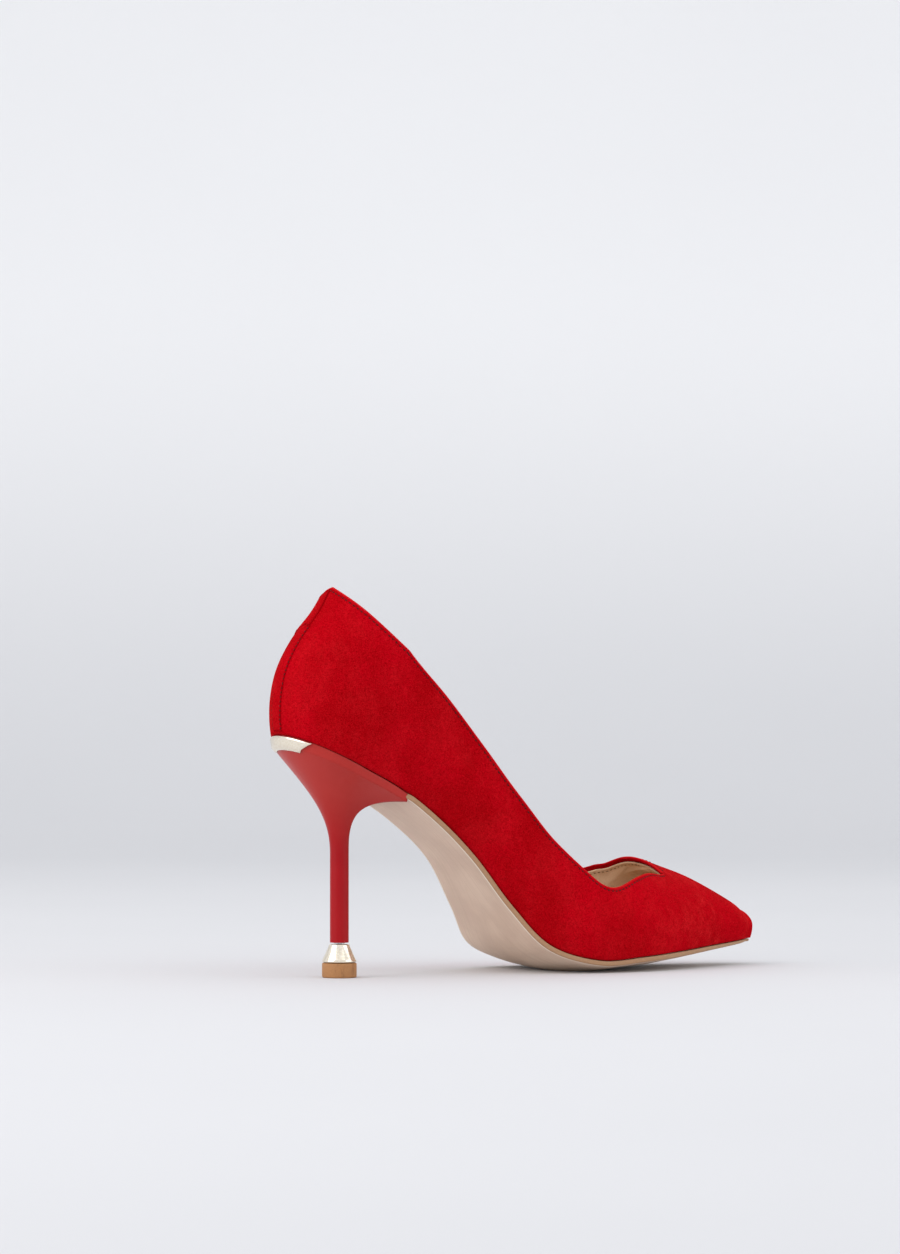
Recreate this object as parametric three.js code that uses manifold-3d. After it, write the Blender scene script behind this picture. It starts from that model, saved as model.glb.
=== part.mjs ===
// High heel pump, right shoe: pointed toe, V-cut vamp and a slim stiletto heel.
// Millimetres. +X runs from heel to toe, +Y to the inner (medial) side of the foot, +Z up.
// The shoe is drawn with the middle of its heel tip on the floor at X = Y = 0, then moved so
// that the origin is the middle of its bounding box, on the floor.
import * as THREE from "three";
import { mergeVertices } from "three/addons/utils/BufferGeometryUtils.js";
import Module from "manifold-3d";

const wasm = await Module();
wasm.setup();

// ---- Driving dimensions ----------------------------------------------------------------

// Sections of the outer form, from the heel seat to the toe: x and z place the feather line,
// where the upper meets the sole; lean tilts the section forward in degrees; ridge is the
// height of its crown and wide the height of its widest line, both along the lean; foot and
// max are its half widths at those two lines, on the outer and the inner side; shift moves the
// crown towards the inner side.
const COLUMNS = ["x", "z", "lean", "ridge", "wide", "footOut", "maxOut", "footIn", "maxIn", "shift"];
const SECTIONS = [
  [-3, 85.6, 25, 112, 20, 23.5, 26.5, 22.5, 26, 0],
  [17, 76, 29, 109, 21, 22, 27, 20, 26.5, 0],
  [36, 63.6, 32, 103, 22, 19.5, 27.5, 17.5, 27.5, 0],
  [53, 48.5, 33, 95, 22, 18.8, 28.5, 17.3, 29, 0],
  [69, 28.3, 31, 86, 19, 21.5, 30, 24.5, 32, 1],
  [84, 12, 25, 74, 15, 27, 32, 34.5, 36.5, 2],
  [105, 5.4, 14, 60, 11, 32.5, 34.5, 38, 38.5, 5],
  [127, 6.3, 5, 49, 9, 33, 34, 32, 33, 7],
  [149, 7.7, 0, 38, 8, 27, 28, 24, 25.5, 7],
  [171, 9.2, 0, 28.3, 7, 18, 19.5, 15.5, 17.5, 4],
  [190, 10.4, 0, 17.2, 6.5, 9.8, 11.3, 8.8, 10.8, 1],
  [196.5, 10.9, 0, 12, 5.5, 6.4, 7.6, 6, 7.4, 0],
];
// Back of the heel from the feather line up: height along the lean, X, Z.
const BACK = [
  [0, -28.8, 98.3],
  [6, -29.4, 104.5],
  [16, -29, 114.3],
  [26, -26.8, 124],
  [40, -19.5, 137],
  [54, -9, 149],
  [62, -3.5, 157.2],
  [76, 8, 170],
];
const TOE_FOOT = 4.2; // reach of the toe past the last section, at the feather line
const TOE_MAX = 5.1; // and at its widest line
const CROWN_START = 0.3; // share of a section's girth that lies below its widest line
// How much fuller than an ellipse the crown is: outer side, toe and inner side.
const FULLNESS = { [-1]: -0.2, 0: -0.35, 1: 0.15 };

// Topline: place along the sections, share of the girth that the side covers there. The inner
// side reaches past the crown to meet the outer side at the point of the V.
const TOP_OUT = [
  [-1, 0.512],
  [-0.5, 0.488],
  [0, 0.452],
  [1, 0.4],
  [2, 0.36],
  [3, 0.342],
  [4, 0.378],
  [5, 0.45],
  [6, 0.482],
  [7, 0.583],
  [7.6, 0.66],
  [8, 0.7],
  [8.15, 0.73],
];
const TOP_IN = [
  [-1, 0.512],
  [-0.5, 0.49],
  [0, 0.455],
  [1, 0.405],
  [2, 0.368],
  [3, 0.352],
  [4, 0.385],
  [5, 0.46],
  [6, 0.51],
  [7, 0.59],
  [7.5, 0.69],
  [7.8, 0.8],
  [7.95, 0.96],
  [8.1, 1.12],
  [8.15, 1.27],
];
const THROAT = 8.15; // section place of the V's point
const THROAT_SPLIT = 0.73; // outer side's share of the girth there
const SPLIT_END = 9.6; // place from which the two sides meet on the crown

const GAP = 0.3; // clearance between pieces that touch
const LAYER_GAP = 0.45; // and between the bent layers of the upper
const SUEDE = 1.2;
const STIFFENER = 1;
const LINING = 0.9;
const MARGIN = 12; // upper's edge turned under the insole board
const BOARD = 2.2;
const FOAM = 1.5;
const SOCK = 1;
const SHANK = { low: 0.15, thick: 0.9, half: 5, from: -0.1, to: 4.5 };
const SOLE_EDGE = 2; // outsole thickness at its edge
const SOLE_CROWN = 3.5; // more of it along the middle of the tread
const SOLE_START = 0.55; // section place of the outsole's end under the heel
const HEEL_INSET = 0.8; // heel's rim inside the feather line
const STEM_R = 3.8;
const STEM_TOP = 50; // height where the stem starts to flare
const TIP_R = 7;
const TOP_PIECE = 5.9;
const COLLAR = 7.2;
const TUBE_R = 2.2;
const TUBE_BORE = 1.4;
const TUBE_TOP = 74;
const PIN_R = 1.1;
const PLATE = { thick: 0.8, endHigh: -0.53, endLow: -0.7, down: 0.13 }; // gold back plate
const OVERLAY = 0.7; // thickness of the back strip and tab
const TAB_HIGH = 0.075; // height of the back tab, as a share of the girth

// ---- Outer form ------------------------------------------------------------------------

const LAST_SECTION = SECTIONS.length - 1;
const radians = THREE.MathUtils.degToRad;
const clamp = THREE.MathUtils.clamp;
const lerp = THREE.MathUtils.lerp;

// Smooth curve through [x, y] points.
function curve(points) {
  const last = points.length - 1;
  const width = (i) => points[i + 1][0] - points[i][0];
  const slope = (i) => (points[i + 1][1] - points[i][1]) / width(i);
  const tangent = (i) => {
    if (i === 0) return slope(0);
    if (i === last) return slope(last - 1);
    return (slope(i - 1) * width(i) + slope(i) * width(i - 1)) / (width(i) + width(i - 1));
  };
  const tangents = points.map((point, i) => tangent(i));
  return (x) => {
    let i = 0;
    while (i < last - 1 && x >= points[i + 1][0]) i += 1;
    const h = width(i);
    const u = (x - points[i][0]) / h;
    const value = points[i][1] * (1 + 2 * u) * (1 - u) ** 2 + points[i + 1][1] * u * u * (3 - 2 * u);
    return value + h * (tangents[i] * u * (1 - u) ** 2 + tangents[i + 1] * u * u * (u - 1));
  };
}

const columnCurves = COLUMNS.map((name, c) => curve(SECTIONS.map((row, i) => [i, row[c]])));
const backX = curve(BACK.map(([up, x]) => [up, x]));
const backZ = curve(BACK.map(([up, x, z]) => [up, z]));
const topOut = curve(TOP_OUT);
const topIn = curve(TOP_IN);

function section(place) {
  const at = clamp(place, 0, LAST_SECTION);
  return Object.fromEntries(COLUMNS.map((name, c) => [name, columnCurves[c](at)]));
}

// Share of the girth that a side covers at a section place: together 2 ahead of the throat.
function topline(side, place) {
  if (place < THROAT) return side > 0 ? topIn(place) : topOut(place);
  const split = lerp(THROAT_SPLIT, 1, THREE.MathUtils.smoothstep(place, THROAT, SPLIT_END));
  return side > 0 ? 2 - split : split;
}

const crownAngle = (girth) => (clamp((girth - CROWN_START) / (1 - CROWN_START), 0, 1) * Math.PI) / 2;

function heightAt(s, girth) {
  if (girth < CROWN_START) return (s.wide * girth) / CROWN_START;
  return s.wide + (s.ridge - s.wide) * Math.sin(crownAngle(girth));
}

function girthAt(s, height) {
  if (height < s.wide) return (CROWN_START * height) / s.wide;
  const share = clamp((height - s.wide) / (s.ridge - s.wide), 0, 1);
  return CROWN_START + ((1 - CROWN_START) * Math.asin(share) * 2) / Math.PI;
}

function halfWidth(side, foot, max, girth) {
  if (girth === 1) return 0;
  if (girth < CROWN_START) return max - (max - foot) * (1 - girth / CROWN_START) ** 2;
  const angle = crownAngle(girth);
  return max * Math.cos(angle) * (1 + FULLNESS[side] * Math.sin(angle) ** 2);
}

// Point on the middle plane, up along a section's lean.
function middle(s, up) {
  const lean = radians(s.lean);
  return new THREE.Vector3(s.x + up * Math.sin(lean), 0, s.z + up * Math.cos(lean));
}

// How far a place is round the heel or the toe, as an angle.
const turnAt = (place) => (clamp(place < 0 ? -place : place - LAST_SECTION, 0, 1) * Math.PI) / 2;

// Point of the outer form: side -1 outer or 1 inner; place -1 to 0 round the heel, then along
// the sections, then one more round the toe; girth 0 at the feather line, 1 at the crown, and
// over 1 down the other side.
function form(side, place, girth) {
  if (girth > 1) return form(-side, place, 2 - girth);
  const s = section(place);
  const up = heightAt(s, girth);
  const [foot, max] = side > 0 ? [s.footIn, s.maxIn] : [s.footOut, s.maxOut];
  const point = middle(s, up);
  const turn = turnAt(place);
  if (place < 0) {
    point.x += Math.sin(turn) * (backX(up) - point.x);
    point.z += Math.sin(turn) * (backZ(up) - point.z);
  } else {
    point.x += Math.sin(turn) * halfWidth(0, TOE_FOOT, TOE_MAX, girth);
  }
  const across = side * halfWidth(side, foot, max, girth) * Math.cos(turn);
  point.y = across + s.shift * Math.sin(crownAngle(girth)) ** 2;
  return point;
}

// Outward unit normal of the outer form. On the middle plane it stays in that plane.
function normal(side, place, girth) {
  if (girth > 1) return normal(-side, place, 2 - girth);
  const step = 0.01;
  const at = girth > 0.985 ? Math.min(place, LAST_SECTION - step) : place;
  if (girth === 1) {
    const crown = form(side, at + step, 1).sub(form(side, at - step, 1));
    return new THREE.Vector3(-crown.z, 0, crown.x).normalize();
  }
  const g = clamp(girth, step, 1 - step);
  const up = form(side, at, g + step).sub(form(side, at, g - step));
  if (at === -1) return new THREE.Vector3(-up.z, 0, up.x).normalize();
  if (at === LAST_SECTION + 1) return new THREE.Vector3(up.z, 0, -up.x).normalize();
  const along = form(side, at + step, g).sub(form(side, at - step, g));
  return along.cross(up).multiplyScalar(-side).normalize();
}

// Point under the foot: across -1 to 1 between two edges that lie inset inside the feather
// line, up above it.
function underfoot(place, across, inset, up) {
  const s = section(place);
  const point = middle(s, up);
  const turn = turnAt(place);
  const foot = across > 0 ? s.footIn : s.footOut;
  point.y = across * Math.max(foot - inset, 0.2) * Math.cos(turn);
  if (place < 0) {
    const reach = 1 - inset / (s.x - backX(0));
    point.x += Math.sin(turn) * reach * (backX(up) - point.x);
    point.z += Math.sin(turn) * reach * (backZ(up) - point.z);
  } else {
    point.x += Math.sin(turn) * Math.max(TOE_FOOT - inset, 0.2);
  }
  return point;
}

// ---- Closed bodies ---------------------------------------------------------------------

// Closed body between two matching sheets. Each patch is a grid of places; the sheet joins
// where its outer points meet, and a rim closes each free edge.
function between(patches, outerPoint, innerPoint) {
  const outer = [];
  const inner = [];
  const known = new Map();
  const faces = [];
  const vertex = (place) => {
    const point = outerPoint(place);
    const key = point.toArray().map((value) => Math.round(value * 500)).join();
    if (!known.has(key)) {
      known.set(key, outer.length);
      outer.push(point);
      inner.push(innerPoint(place));
    }
    return known.get(key);
  };
  const addFace = (a, b, c) => {
    if (a !== b && b !== c && c !== a) faces.push([a, b, c]);
  };
  for (const { grid, flip } of patches) {
    const ids = grid.map((column) => column.map(vertex));
    for (let i = 0; i + 1 < ids.length; i += 1) {
      for (let j = 0; j + 1 < ids[i].length; j += 1) {
        const [a, b] = [ids[i][j], ids[i + 1][j]];
        const [c, d] = [ids[i + 1][j + 1], ids[i][j + 1]];
        if (flip) {
          addFace(a, d, c);
          addFace(a, c, b);
        } else {
          addFace(a, b, c);
          addFace(a, c, d);
        }
      }
    }
  }
  const edges = new Set(faces.flatMap(([a, b, c]) => [`${a},${b}`, `${b},${c}`, `${c},${a}`]));
  const offset = outer.length;
  const index = [];
  for (const [a, b, c] of faces) {
    index.push(a, b, c, a + offset, c + offset, b + offset);
    for (const [from, to] of [[a, b], [b, c], [c, a]]) {
      if (edges.has(`${to},${from}`)) continue;
      index.push(to, from, from + offset, to, from + offset, to + offset);
    }
  }
  return indexed([...outer, ...inner], index);
}

function indexed(points, index) {
  const geometry = new THREE.BufferGeometry().setFromPoints(points);
  geometry.setIndex(index);
  return geometry;
}

// Closed body through rings of equal length, shut at both ends by a point.
function skin(startPole, rings, endPole) {
  const count = rings[0].length;
  const points = [startPole, ...rings.flat(), endPole];
  const at = (ring, i) => 1 + ring * count + (i % count);
  const end = points.length - 1;
  const index = [];
  for (let i = 0; i < count; i += 1) {
    index.push(0, at(0, i), at(0, i + 1));
    for (let ring = 0; ring + 1 < rings.length; ring += 1) {
      index.push(at(ring, i), at(ring + 1, i), at(ring + 1, i + 1));
      index.push(at(ring, i), at(ring + 1, i + 1), at(ring, i + 1));
    }
    index.push(end, at(rings.length - 1, i + 1), at(rings.length - 1, i));
  }
  return indexed(points, index);
}

function solid(geometry) {
  const bare = geometry.clone();
  bare.deleteAttribute("normal");
  bare.deleteAttribute("uv");
  const merged = mergeVertices(bare, 1e-4);
  const triVerts = new Uint32Array(merged.index.array);
  const vertProperties = new Float32Array(merged.attributes.position.array);
  return new wasm.Manifold(new wasm.Mesh({ numProp: 3, vertProperties, triVerts }));
}

function cut(geometry, ...tools) {
  const result = tools.reduce((body, tool) => body.subtract(solid(tool)), solid(geometry));
  const mesh = result.getMesh();
  const cutGeometry = new THREE.BufferGeometry();
  cutGeometry.setAttribute("position", new THREE.BufferAttribute(mesh.vertProperties, 3));
  cutGeometry.setIndex(new THREE.BufferAttribute(mesh.triVerts, 1));
  return cutGeometry;
}

// Turned body: [radius, height] points from the bottom of the axis to the top.
function turned(profile, segments = 20) {
  return new THREE.LatheGeometry(profile.map(([r, z]) => new THREE.Vector2(r, z)), segments).rotateX(
    Math.PI / 2,
  );
}

// ---- Grids of places -------------------------------------------------------------------

const span = (from, to, count) => Array.from({ length: count + 1 }, (x, i) => lerp(from, to, i / count));
const HEEL_PLACES = span(-1, 0, 5).slice(0, -1);
const TOE_PLACES = span(LAST_SECTION, LAST_SECTION + 1, 4).slice(1);
const THROAT_PLACES = [7.3, 7.6, 7.8, 7.9, 8, 8.08, THROAT, 8.5];
const WALL_ROWS = 7;
const WALL_PLACES = [...span(0, 7, 14), ...THROAT_PLACES, 9, 9.5, 10, 10.5, LAST_SECTION];
const FLOOR_PLACES = [...span(0, 7, 14), 8, 9, 10, LAST_SECTION];

const placesWithin = (body, from, to) => {
  const all = [...HEEL_PLACES, ...body, ...TOE_PLACES];
  return [from, ...all.filter((place) => place > from + 0.05 && place < to - 0.05), to];
};
const wallPlaces = (from, to) => placesWithin(WALL_PLACES, from, to);
const floorPlaces = (from, to) => placesWithin(FLOOR_PLACES, from, to);

// Wall of one side between a low and a high line, both functions of the place. All walls share
// the rows that divide the upper from the feather line to its topline.
function wall(side, places, low, high) {
  const grid = places.map((place) => {
    return span(0, 1, WALL_ROWS).map((share) => {
      const at = typeof place === "function" ? place(share) : place;
      const girth = share * topline(side, at);
      return { side, place: at, girth: clamp(girth, low(side, at), high(side, at)) };
    });
  });
  return { grid, flip: side > 0 };
}

// Sheet under the foot, from edge to edge.
function floor(places, rows) {
  const grid = places.map((place) => span(-1, 1, rows).map((across) => ({ place, across })));
  return { grid, flip: false };
}

const marginAt = (place) => {
  const s = section(place);
  return Math.min(MARGIN, 0.55 * s.footIn, 0.55 * s.footOut);
};

// Point of a wall at a depth below the outer form; under 1 is the end of the turned margin.
function wallPoint({ side, place, girth, under }, depth) {
  if (under) return underfoot(place, side, marginAt(place), depth);
  if (girth === 0) return underfoot(place, side, depth, depth);
  return form(side, place, girth).addScaledVector(normal(side, place, girth), -depth);
}

function withMargin({ grid, flip }) {
  return { flip, grid: grid.map((column) => [{ ...column[0], under: true }, ...column]) };
}

function wallLayer(patches, from, thick) {
  return between(
    patches,
    (place) => wallPoint(place, from),
    (place) => wallPoint(place, from + thick),
  );
}

function floorLayer(places, rows, inset, low, thick) {
  const point = ({ place, across }, up) => underfoot(place, across, inset(Math.sign(across), place), up);
  return between(
    [floor(places, rows)],
    (place) => point(place, low + thick),
    (place) => point(place, low),
  );
}

// ---- Upper and linings -----------------------------------------------------------------

const STIFFENER_FOOT = 2.8; // height of the stiffeners' lower edge
const atFeather = () => 0;
const insideEdge = (side, place) => girthAt(section(place), STIFFENER_FOOT);
const belowTop = (drop) => (side, place) => {
  return topline(side, place) - drop * clamp((THROAT - place) * 2, 0, 1);
};

const SEAM_LOW = 2.9; // inner side seam between vamp and quarter, at the sole
const SEAM_HIGH = 4; // and at the topline
const SEAM_END = 5; // where the sections stop following the seam's slant
const seamLean = (share) => share * (SEAM_HIGH - SEAM_LOW);
const seam = (shift) => (share) => SEAM_LOW + seamLean(share) + shift;
const BACK_SEAM = -0.995; // where each side stops short of the middle of the back

function vamp() {
  const fade = (place) => (SEAM_END - place) / (SEAM_END - SEAM_LOW);
  const joined = [3.5, 4, 4.5].map((place) => (share) => place + seamLean(share) * fade(place));
  const inner = [seam(0.02), ...joined, ...wallPlaces(SEAM_END, LAST_SECTION + 1)];
  return wallLayer(
    [
      withMargin(wall(-1, wallPlaces(BACK_SEAM, LAST_SECTION + 1), atFeather, topline)),
      withMargin(wall(1, inner, atFeather, topline)),
    ],
    0,
    SUEDE,
  );
}

function medialQuarter() {
  const joined = [1, 2].map((i) => (share) => lerp(2, seam(0)(share), i / 3));
  const places = [...wallPlaces(BACK_SEAM, 2), ...joined, seam(0)];
  return wallLayer([withMargin(wall(1, places, atFeather, topline))], 0, SUEDE);
}

// Pieces that go round the heel or over the vamp are one patch a side, joined at the middle.
function bothSides(from, to, low, high) {
  return [-1, 1].map((side) => wall(side, wallPlaces(from, to), low, high));
}

const STRIP_END = -0.914; // section place where the back strip's edge lies
const TAB_END = -0.66; // and the back tab's inner end
const aboveFeather = () => 0.01;

function backStrip() {
  const patches = bothSides(-1, STRIP_END, aboveFeather, belowTop(TAB_HIGH + 0.008));
  return wallLayer(patches, -LAYER_GAP - OVERLAY, OVERLAY);
}

function backTab() {
  const patches = [
    wall(-1, wallPlaces(-1, STRIP_END), belowTop(TAB_HIGH), topline),
    wall(1, wallPlaces(-1, TAB_END), belowTop(TAB_HIGH), topline),
  ];
  return wallLayer(patches, -LAYER_GAP - OVERLAY, OVERLAY);
}

const midDepth = SUEDE + LAYER_GAP;
const liningDepth = midDepth + STIFFENER + LAYER_GAP;
const counterTop = (side, place) => girthAt(section(place), lerp(36, 16, clamp(place / 1.8, 0, 1)));

// ---- Bottom ----------------------------------------------------------------------------

const boardInset = liningDepth + LINING + GAP;
const boardLow = SUEDE + GAP;
const foamLow = boardLow + BOARD + GAP;
const sockLow = foamLow + FOAM + GAP;
const liningGirth = (side, place) => girthAt(section(place), boardLow);

// Outsole: flat on top, crowned below, and level where it meets the floor.
const SOLE_TAIL = 0.62; // half width of its tail under the heel, as a share of the foot's
const SOLE_OVERHANG = 0.4;
const SOLE_TIP = { from: 8, thin: 0.5, inset: 1 }; // it thins and draws in towards the toe

function outsole(grow = 0) {
  const tail = (place) => lerp(SOLE_TAIL, 1, clamp((place - SOLE_START) / 0.7, 0, 1));
  const toeward = (place) => clamp((place - SOLE_TIP.from) / (LAST_SECTION - SOLE_TIP.from), 0, 1);
  const at = ({ place, across }, up) => {
    const overhang = SOLE_OVERHANG - SOLE_TIP.inset * toeward(place);
    const point = underfoot(place, across, -overhang - grow, up);
    point.y *= tail(place);
    return point;
  };
  const places = floorPlaces(SOLE_START - grow * 0.1, LAST_SECTION + 1);
  return between(
    [floor(places, 8)],
    (p) => at(p, grow - GAP),
    (p) => {
      const fullness = Math.min(clamp((p.place - 3.5) / 2, 0.15, 1), clamp((9.5 - p.place) / 2, 0, 1));
      const crown = SOLE_CROWN * fullness * (1 - p.across ** 2);
      const edge = SOLE_EDGE * lerp(1, SOLE_TIP.thin, toeward(p.place));
      const point = at(p, -GAP - edge - crown - grow);
      point.z = Math.max(point.z, 0);
      return point;
    },
  );
}

function shank() {
  const strip = ({ place, across }, up) => {
    const point = underfoot(place, across, 0, up);
    point.y = across * SHANK.half;
    return point;
  };
  return between(
    [floor(floorPlaces(SHANK.from, SHANK.to), 2)],
    (p) => strip(p, SHANK.low + SHANK.thick),
    (p) => strip(p, SHANK.low),
  );
}

// Turned fastener driven square to the foot bed: profile heights count from the feather line.
function driven(profile, place, y) {
  const foot = underfoot(place, 0, 0, 0);
  const along = underfoot(place + 0.05, 0, 0, 0).sub(underfoot(place - 0.05, 0, 0, 0));
  const lean = Math.atan2(-along.z, along.x);
  return turned(profile, 12).rotateY(lean).translate(foot.x, y, foot.z);
}

// Hole for a fastener: its profile widened and let down by the gap, and open above its head.
function hole(profile, at) {
  const rows = profile.map(([r, z]) => [r === 0 ? 0 : r + GAP, z - GAP]);
  const lip = rows[rows.length - 2];
  return driven([...rows.slice(0, -1), [lip[0], boardTop + 1], [0, boardTop + 1]], ...at);
}

const boardTop = boardLow + BOARD;
const HEAD_TOP = boardTop - 0.2;
const RIVET = [[0, 0.2], [1.5, 0.2], [1.5, 2.5], [2.6, HEAD_TOP], [0, HEAD_TOP]];
const SCREW = [[0, -11], [0.6, -11], [1.6, -8], [1.6, 1.9], [3.2, HEAD_TOP], [0, HEAD_TOP]];
const NAIL = [[0, -9], [0.4, -9], [0.9, -7.6], [0.9, 2.7], [2, 2.9], [2, HEAD_TOP], [0, HEAD_TOP]];
const RIVETS = { shank_rivet_rear: [1.25, 0], shank_rivet_front: [3.7, 0] };
const NAILS = {
  heel_nail_back: [-0.28, 0],
  heel_nail_outer_rear: [-0.1, -8.5],
  heel_nail_inner_rear: [-0.1, 8.5],
  heel_nail_outer_front: [0.42, -8.5],
  heel_nail_inner_front: [0.42, 8.5],
};
const SCREW_AT = [0.1, 0];

const holes = [
  hole(SCREW, SCREW_AT),
  ...Object.values(NAILS).map((at) => hole(NAIL, at)),
  ...Object.values(RIVETS).map((at) => hole(RIVET, at)),
];

// ---- Heel ------------------------------------------------------------------------------

const HEEL_FRONT = 1.16; // section place of the heel's front corners
const BREAST = 0.55; // how far back the breast curves between them
const LIP = 0.1; // share of the heel's profile that is its upright rim

// The heel's outline where it meets the upper, from the back round the outer side.
function heelRim() {
  const side = wallPlaces(-1, HEEL_FRONT);
  const front = span(-1, 1, 10).slice(1, -1);
  return [
    ...side.map((place) => ({ place, across: -1 })),
    ...front.map((across) => ({ place: HEEL_FRONT - BREAST * (1 - across ** 2), across })),
    ...side.slice(1).reverse().map((place) => ({ place, across: 1 })),
  ];
}

// Point of the heel's side at a share of the way from its rim to the top of the stem.
function heelPoint({ place, across }, share, grow = 0) {
  const rim = underfoot(place, across, HEEL_INSET, -GAP);
  const angle = Math.atan2(rim.y, rim.x);
  const reach = Math.hypot(rim.x, rim.y);
  const forward = clamp((place + 0.2) / 1.35, 0, 1);
  const lip = [reach - 0.7, rim.z - lerp(4, 3.2, forward)];
  const out = (part) => STEM_R + (reach - STEM_R) * part;
  let at;
  if (share < LIP) {
    at = [lerp(reach, lip[0], share / LIP), lerp(rim.z, lip[1], share / LIP)];
  } else {
    const line = new THREE.CubicBezierCurve(
      new THREE.Vector2(...lip),
      new THREE.Vector2(out(lerp(0.37, 0.16, forward)), lerp(74.5, 71.5, forward)),
      new THREE.Vector2(STEM_R, 66),
      new THREE.Vector2(STEM_R, STEM_TOP),
    );
    at = line.getPoint((share - LIP) / (1 - LIP)).toArray();
  }
  const radius = at[0] + grow;
  return new THREE.Vector3(radius * Math.cos(angle), radius * Math.sin(angle), at[1]);
}

const stemFoot = TOP_PIECE + COLLAR + 2 * GAP;

function heelBlock() {
  const rim = heelRim();
  const rings = [0, 0.04, ...span(LIP, 1, 9)].map((share) => rim.map((p) => heelPoint(p, share)));
  const foot = rim.map((p) => heelPoint(p, 1).setZ(stemFoot));
  const seat = underfoot(0.15, 0, 0, -GAP);
  const block = skin(seat, [...rings, foot], new THREE.Vector3(0, 0, stemFoot));
  const [boreR, boreTop] = [TUBE_R + GAP, TUBE_TOP + GAP];
  const bore = turned([[0, 0], [boreR, 0], [boreR, boreTop], [0, boreTop]]);
  return cut(block, bore, outsole(GAP), ...holes);
}

function backPlate() {
  const end = (share) => lerp(PLATE.endHigh, PLATE.endLow, share);
  const patches = [-1, 1].map((side) => ({
    flip: side < 0,
    grid: span(0, 1, 5).map((along) => {
      return span(0, 1, 3).map((down) => {
        return { place: lerp(-1, end(down), along), across: side, share: down * PLATE.down };
      });
    }),
  }));
  return between(
    patches,
    (p) => heelPoint(p, p.share, LAYER_GAP + PLATE.thick),
    (p) => heelPoint(p, p.share, LAYER_GAP),
  );
}

function heelTube() {
  const [low, high] = [stemFoot, TUBE_TOP];
  const profile = [[TUBE_BORE, low], [TUBE_R, low], [TUBE_R, high], [TUBE_BORE, high]];
  return turned([...profile, profile[0]]);
}

const collarFoot = TOP_PIECE + GAP;
const PIN_TOP = 28;
const PIN_DEPTH = 3; // how far the pin is set into the top piece

function heelCollar() {
  const bore = PIN_R + GAP;
  const top = collarFoot + COLLAR;
  const profile = [
    [bore, collarFoot],
    [TIP_R - 0.2, collarFoot],
    [TIP_R, collarFoot + 0.4],
    [4.1, top - 0.4],
    [3.9, top],
    [bore, top],
    [bore, collarFoot],
  ];
  return turned(profile, 28);
}

function topPiece() {
  const bore = PIN_R + GAP;
  const profile = [
    [0, 0],
    [TIP_R - 0.4, 0],
    [TIP_R, 0.4],
    [TIP_R, TOP_PIECE],
    [bore, TOP_PIECE],
    [bore, TOP_PIECE - PIN_DEPTH],
    [0, TOP_PIECE - PIN_DEPTH],
  ];
  return turned(profile, 28);
}

function topPiecePin() {
  const low = TOP_PIECE - PIN_DEPTH + GAP;
  return turned([[0, low], [PIN_R, low], [PIN_R, PIN_TOP], [0, PIN_TOP]], 12);
}

// ---- Materials and assembly ------------------------------------------------------------

function material(color, roughness, metalness = 0) {
  return new THREE.MeshStandardMaterial({ color, roughness, metalness });
}

const suede = material("#b1000f", 0.95);
const liningLeather = material("#c9a27a", 0.6);
const buckram = material("#d8cdb8", 0.9);
const cloth = material("#e6dfd2", 0.95);
const soleLeather = material("#cdb79c", 0.55);
const boardFibre = material("#8d7354", 0.9);
const foam = material("#e8d9a8", 0.95);
const cork = material("#a9804f", 0.95);
const steel = material("#9a9da0", 0.4, 1);
const lacquer = material("#b2453c", 0.35);
const gold = material("#d9bd84", 0.3, 1);
const rubber = material("#a8764c", 0.7);

const shoe = new THREE.Group();

function add(name, geometry, finish) {
  const mesh = new THREE.Mesh(geometry, finish);
  mesh.name = name;
  shoe.add(mesh);
}

const bottomInset = () => boardInset;
const fillerInset = (side, place) => marginAt(place) + 1;
const wholeFoot = floorPlaces(-1, LAST_SECTION + 1);
const bedPlaces = floorPlaces(-1, LAST_SECTION - 1);
const LINING_JOIN = 4.6; // section place where the quarter lining meets the vamp lining
const LINING_END = 10.3; // place where the vamp lining stops inside the toe
const TOP_DROP = 0.015; // lining's edge below the topline, as a share of the girth
const PUFF_START = 9.2;
const COUNTER_END = 1.8;

// Layer of the upper on both sides, all round from one place to another.
const stiffener = (...range) => wallLayer(bothSides(...range), midDepth, STIFFENER);
const lining = (from, to) => {
  return wallLayer(bothSides(from, to, liningGirth, belowTop(TOP_DROP)), liningDepth, LINING);
};
const filler = floorPlaces(SHANK.to + 0.1, 9.4);

add("vamp", vamp(), suede);
add("medial_quarter", medialQuarter(), suede);
add("back_strip", backStrip(), suede);
add("back_tab", backTab(), suede);
add("heel_counter", stiffener(-1, COUNTER_END, insideEdge, counterTop), buckram);
add("interlining", stiffener(COUNTER_END + 0.05, PUFF_START - 0.03, insideEdge, belowTop(TOP_DROP)), cloth);
add("toe_puff", stiffener(PUFF_START, LAST_SECTION + 1, insideEdge, topline), buckram);
add("quarter_lining", lining(-1, LINING_JOIN - 0.03), liningLeather);
add("vamp_lining", lining(LINING_JOIN, LINING_END), liningLeather);
add("insole_board", cut(floorLayer(wholeFoot, 4, bottomInset, boardLow, BOARD), ...holes), boardFibre);
add("shank", cut(shank(), ...holes), steel);
add("bottom_filler", floorLayer(filler, 4, fillerInset, SHANK.low, SHANK.thick), cork);
add("sock_foam", floorLayer(bedPlaces, 4, bottomInset, foamLow, FOAM), foam);
add("sock", floorLayer(bedPlaces, 4, bottomInset, sockLow, SOCK), liningLeather);
add("outsole", outsole(), soleLeather);
add("heel_block", heelBlock(), lacquer);
add("back_plate", backPlate(), gold);
add("heel_tube", heelTube(), steel);
add("heel_collar", heelCollar(), gold);
add("top_piece", topPiece(), rubber);
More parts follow.
